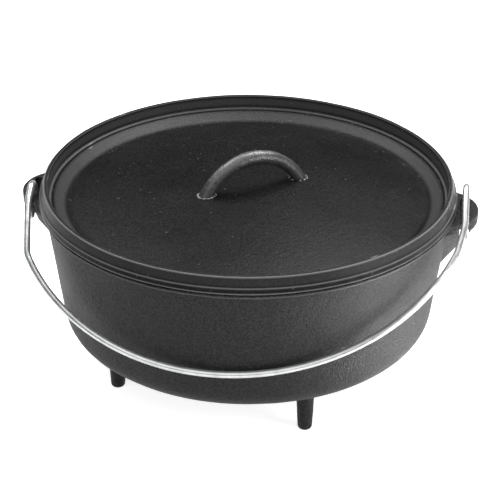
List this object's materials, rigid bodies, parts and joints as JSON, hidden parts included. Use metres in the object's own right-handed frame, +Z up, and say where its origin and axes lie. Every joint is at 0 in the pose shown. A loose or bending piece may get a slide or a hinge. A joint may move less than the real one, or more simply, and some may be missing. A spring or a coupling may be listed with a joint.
{
  "type": "camp dutch oven",
  "caption": "Legged cast-iron camp oven with a flanged lid for coals, a loop on the lid and a swinging wire bail whose hooked ends hang in slotted side ears.",
  "frame": {"origin": "on the ground under the middle of the pot, midway between the ears", "axes": "+X from the left ear to the right ear, along the bail's pivot line; -Y towards the side where the bail rests; +Z up"},
  "size_m": [0.3826, 0.3486, 0.1963],
  "materials": {
    "pot_iron": "seasoned sand casting",
    "lid_iron": "seasoned sand casting",
    "loop_iron": "seasoned, worn",
    "plated_wire": "bright plated steel wire"
  },
  "bodies": {
    "pot": {"pot": "pot_iron", "right_front_leg": "pot_iron", "left_leg": "pot_iron", "rear_leg": "pot_iron", "left_ear": "pot_iron", "right_ear": "pot_iron"},
    "lid": {"lid": "lid_iron", "lid_handle": "loop_iron"},
    "bail": {"bail": "plated_wire", "left_hook": "plated_wire", "right_hook": "plated_wire"}
  },
  "joints": [
    {"name": "bail_swing", "type": "hinge", "parent": "pot", "child": "bail", "pos_m": [0, -0.01966, 0.1532], "axis": [-1, 0, 0], "range_deg": [0, 140]},
    {"name": "lid_lift", "type": "slide", "parent": "pot", "child": "lid", "axis": [0, 0, 1], "range_m": [0, 0.2]}
  ]
}
